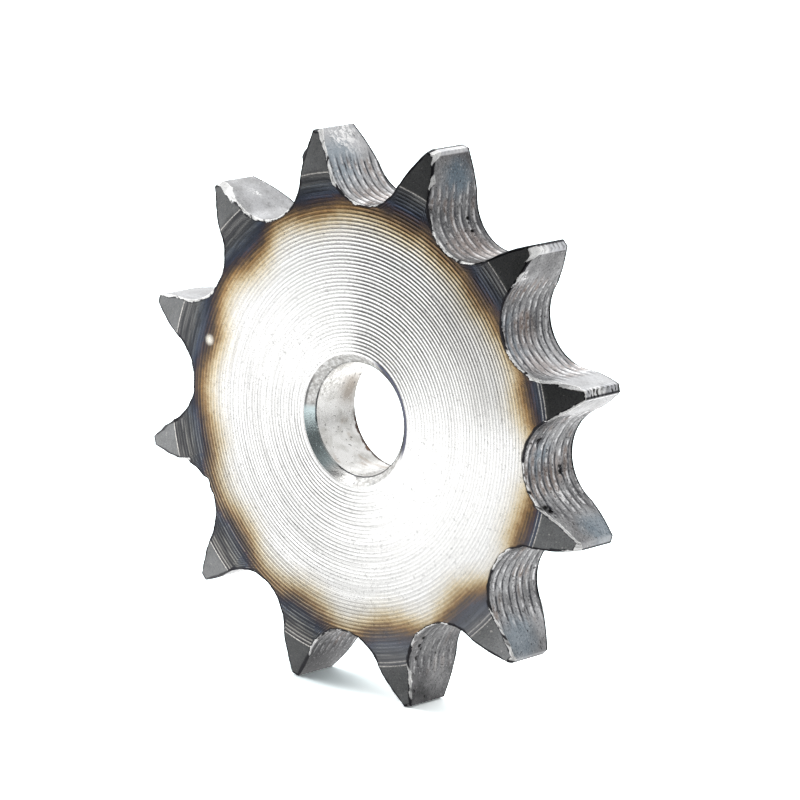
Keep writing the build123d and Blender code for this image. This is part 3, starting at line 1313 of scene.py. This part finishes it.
def milled_gap():
    """Tooth gaps and tips: grey milled steel, lighter where it is bare and darker where shade is painted into
    that tone, with blue and brown casts of heat, patches painted bright as glints, the cutter's marks with
    painted shade and highlight, pits, specks and worn edges that are partly painted highlight."""
    n = Finish("milled_gap")
    wear = n.wear
    pits = n.group("pit_masks", Place=n.place)
    marks = n.group("cutter_marks", Place=n.place, Turns=n.held("mark_turns"), Fade=n.held("mark_fade"))
    patches = n.group("patch_masks", Place=n.place)
    speckle = n.noise(n.place, noises["speckle"])
    # How bare the steel is, with painted shade on some flanks
    bare = n.held("bare")
    soiled = bare.step("soiled")
    colour = n.ramp((bare + wear["Cloud"].step("gap_clouds")).step("gap_greys"), gap_greys)
    colour = n.lay(colour, {
        "blue_heat": patches["Blue"],
        "brown_heat": patches["Brown"],
        # scratched patches painted near white as glints
        "scratched_glints": patches["Bright"],
        "streaks": marks["Streaks"],
        "mark_heat": marks["Heat"],
        # painted shade beside the marks' ridges and painted highlight on them
        "mark_shade": marks["Dark"],
        "mark_highlights": marks["Bright"],
        "dark_speckle": (speckle, soiled),
        "bright_speckle": speckle,
        "gap_grain": wear["Fine"],
        "gap_scratches": wear["Scratches"],
        "gap_specks": (wear["Dark"], soiled),
    })
    depth = n.split(n.stretched(n.place, 1))["Y"]
    half_bar = bar_spacing / MM / 2
    bars = n.math("PINGPONG", depth + wear["Cloud"] * bar_sway, half_bar)
    gaps_between = bars.between(*(half_bar * share for share in bar_span))
    barred = n.held("barred")
    darkness = (1.0 - gaps_between) * barred * n.noise(n.place, noises["bar_breaks"])
    rubbed_tip = n.mix(wear["Cloud"].step("rubbed_clouds"), tip_dull, tip_bright)
    colour = n.mix(barred.step("barred"), colour, n.mix(darkness, rubbed_tip, bar_dark))

    colour, metallic = n.worn_edge(colour, *gap_wear_band)
    colour = n.lay(colour, {
        "tip_corner": n.held("corner") + wear["Grain"] * corner_fray,
        "back_rim": (n.held("brink") + wear["Grain"] * back_rim_fray, depth.step("at_back")),
        "pits": pits["Mask"],
    })
    height = n.total("gap_height", wear | {"speckle": speckle, "Height": marks["Height"]} | pits)
    return n.done(colour, metallic, n.total("gap_rough", wear), height, gap_relief)


def broken_edge():
    """The edges round the teeth: scaled dark, rubbed bright and painted with highlights in stretches."""
    n = Finish("broken_edge")
    share = n.held("rubbed").step("rubbed") * n.wear["Grain"].step("edge_grain")
    colour = n.mix(share, edge_dark, edge_bright)
    rough = n.total("edge_rough", n.wear)
    return n.done(colour, 1.0 - share * edge_matt, rough, n.wear["Grain"], edge_relief)


def reamed_bore():
    """The bore and its chamfers: clean bright steel, mottled with grey and brown stains. The wall has a torn
    line near its back mouth, a dark speck, and grey clouds near the front. The front chamfer has dots and
    glints above, smears at the bottom, a cool cast at the lower left and a dark outer edge on the left. It
    has painted shade in a thin line where it meets the wall and on the side that faces away, and a painted
    highlight on that thin line at the lower left."""
    n = Finish("reamed_bore")
    wear = n.wear
    spot = n.group("wheel_place", Place=n.place)
    angle = spot["Angle"]
    out = spot["Radius"] * (tip_radius / MM)
    depth = n.split(n.stretched(n.place, 1))["Y"]
    stain = n.noise(n.place, noises["stain"])
    clumps = n.noise(n.place, noises["clumps"])

    def from_spot(spot_angle, y):
        return mm_from(n, n.place, ring(np.array([spot_angle]), bore_radius, y)[0])

    on_chamfer = out.step("on_chamfer") * depth.step("in_front")
    above = angle.step("above") * on_chamfer
    # Painted light: the line where the chamfer meets the wall is a painted highlight at the lower left and
    # painted shade elsewhere, and the right chamfer, which faces away, gets painted shade
    thin = on_chamfer * (out + wear["Ragged"] * line_fray).step("thin_line")
    lit = angle.arc("highlight_line")
    shade_mask = n.math("MAXIMUM", thin * (1.0 - lit), angle.arc("right_chamfer") * on_chamfer)
    whole = 1.0 - angle.arc("broken") * wear["Grain"].step("line_breaks")
    back_mouth = depth + (wear["Ragged"] - 0.5) * torn_fray
    colour = n.lay(bore_colour, {
        "stain": stain,
        "brown_stain": n.noise(n.place, noises["brown_stain"]),
        "wall_stain": from_spot(*wall_stain_at) + (stain - 0.5) * stain_fray,
        "bore_glints": wear["Bright"],
        "bore_specks": wear["Dark"],
        "torn": (back_mouth, angle.step("lower_left_wall"), depth.step("torn_end")),
        "wall_speck": from_spot(*wall_speck_at) + wear["Ragged"] * speck_fray,
        "mottle": (clumps, above),
        "dots": (clumps, above),
        "chamfer_glints": (clumps, above),
        "smears": (n.noise(n.place, noises["smears"]), angle.side("bottom"), on_chamfer),
        "wall_grey": (clumps, out.step("on_wall"), angle.step("wall_top"), depth.step("wall_front")),
        "left_edge": (out, angle.arc("left_edge"), on_chamfer),
        "cool": on_chamfer * angle.arc("cool"),
        "highlight_line": thin * lit,
        "shade_line": shade_mask * whole,
    })
    masks = wear | {"matt": above, "reamed": n.noise(n.place, noises["reamer_lines"])}
    rough, height = n.total("bore_rough", masks), n.total("bore_height", masks)
    return n.done(colour, 1.0 - above * chamfer_matt, rough, height, bore_relief)


def add_object(name, data):
    """A new object in the scene that holds this data."""
    thing = bpy.data.objects.new(name, data)
    bpy.context.scene.collection.objects.link(thing)
    return thing


def make_floor():
    """A plain pale floor under the teeth. It takes the sprocket's shadow as a plain matt surface, and the
    camera also sees it lit up to white, raised further on the right, painted light that washes the shadow out
    there. For mirror rays only it glows, a painted reflection though it is no lamp: white on the lit side, on
    the left, and in a patch in front on the right, and dimmer behind. Far in front its matt grey is painted
    dark, painted shade that metal mirrors."""
    mesh = bpy.data.meshes.new("floor")
    square = ((-1, -1), (1, -1), (1, 1), (-1, 1))
    corners = [(paper_reach * x, paper_reach * y, floor_level) for x, y in square]
    mesh.from_pydata(corners, [], [(0, 1, 2, 3)])
    floor = add_object("floor", mesh)
    material = bpy.data.materials.new("studio_paper")
    material.use_nodes = True
    n = Nodes(material.node_tree)
    place = n.add("ShaderNodeTexCoord", output="Object")
    part = {}
    for name, (direction, *ends) in paper_parts.items():
        part[name] = n.measure("DOT_PRODUCT", place, direction).between(*ends)

    path = n.add("ShaderNodeLightPath", output=None)
    # Painted light: the camera's colour is raised on the right, which washes the shadow out there
    seen = n.mix(part["right"], paper_seen, paper_seen_right)
    # Painted shade: far in front the matt grey is dark
    paper = n.mix(part["far_in_front"], paper_colour, paper_far_shade)
    matt = n.add("ShaderNodeBsdfDiffuse", {"Color": n.mix(path["Is Camera Ray"], paper, seen)})
    # Painted reflection: a glow that only mirror rays see, though the floor is no lamp
    lit = part["lit"] * (1.0 - part["far_in_front"])
    lit = n.math("MAXIMUM", lit, part["beside"] * part["ahead"] * right_patch_strength)
    mirrored = path["Is Glossy Ray"] * (lit * part["behind"])
    glow = n.add("ShaderNodeEmission", {"Color": (1, 1, 1, 1), "Strength": mirrored})
    both = n.add("ShaderNodeAddShader", {0: matt, 1: glow})
    n.join(both, n.tree.nodes["Material Output"].inputs["Surface"])
    mesh.materials.append(material)


def make_camera():
    """The camera where the photograph was taken from: far off with a long lens, a little above the bore and
    to the right of the front face, and rolled by a couple of degrees."""
    camera = bpy.data.cameras.new("camera")
    camera.lens = camera_lens
    camera.sensor_width = camera_sensor
    camera.clip_end = camera_sees_to
    turn = Matrix.Rotation(math.radians(camera_turned), 4, "Z")
    turn = turn @ Matrix.Rotation(math.radians(90 - camera_raised), 4, "X")
    turn = turn @ Matrix.Rotation(math.radians(camera_rolled), 4, "Z")
    place = Vector(camera_place) * tip_radius + Vector((0, front_plane, 0))
    holder = add_object("camera", camera)
    holder.matrix_world = Matrix.Translation(place) @ turn
    bpy.context.scene.camera = holder


def make_studio():
    """A dim room with a wide soft box on the left, a pale ceiling and back wall and a small screen on the
    right, and one soft lamp on the left. The camera sees plain white all round, and metal sees that white
    behind the sprocket."""
    world = bpy.data.worlds.new("studio")
    world.use_nodes = True
    bpy.context.scene.world = world
    n = Nodes(world.node_tree)
    outwards = n.add("ShaderNodeTexCoord", output="Generated")

    def facing(direction, *ends):
        return n.measure("DOT_PRODUCT", outwards, Vector(direction).normalized()).between(*ends)

    room = room_strength
    for direction, start, whole, strength in room_lights:
        room = facing(direction, start, whole, 0.0, strength) + room
    path = n.add("ShaderNodeLightPath", output=None)
    shown = n.math("MAXIMUM", path["Is Camera Ray"], path["Is Glossy Ray"] * facing(*backdrop))
    background = world.node_tree.nodes["Background"].inputs
    background["Color"].default_value = (1, 1, 1, 1)
    n.join(n.add("ShaderNodeMix", {0: shown, 2: room, 3: 1.0}, data_type="FLOAT"), background["Strength"])

    lamp = bpy.data.lights.new("soft_lamp", "AREA")
    lamp.size = lamp_size
    lamp.energy = lamp_power
    holder = add_object("soft_lamp", lamp)
    aim = (-Vector(lamp_place)).to_track_quat("-Z", "Y")
    holder.matrix_world = Matrix.Translation(lamp_place) @ aim.to_matrix().to_4x4()
    holder.visible_camera = False


bpy.context.scene.view_settings.view_transform = "Standard"
make_group(wheel_place, "Place")
make_group(heat_tint, "Place", "Radius", "Angle", "Hollow", "Shift")
make_group(ring_lines, "Radius", "Angle")
make_group(shop_wear, "Place")
make_group(cutter_marks, "Place", "Turns", "Fade")
make_group(patch_masks, "Place")
make_group(pit_masks, "Place")
make_sprocket()
make_floor()
make_studio()
make_camera()
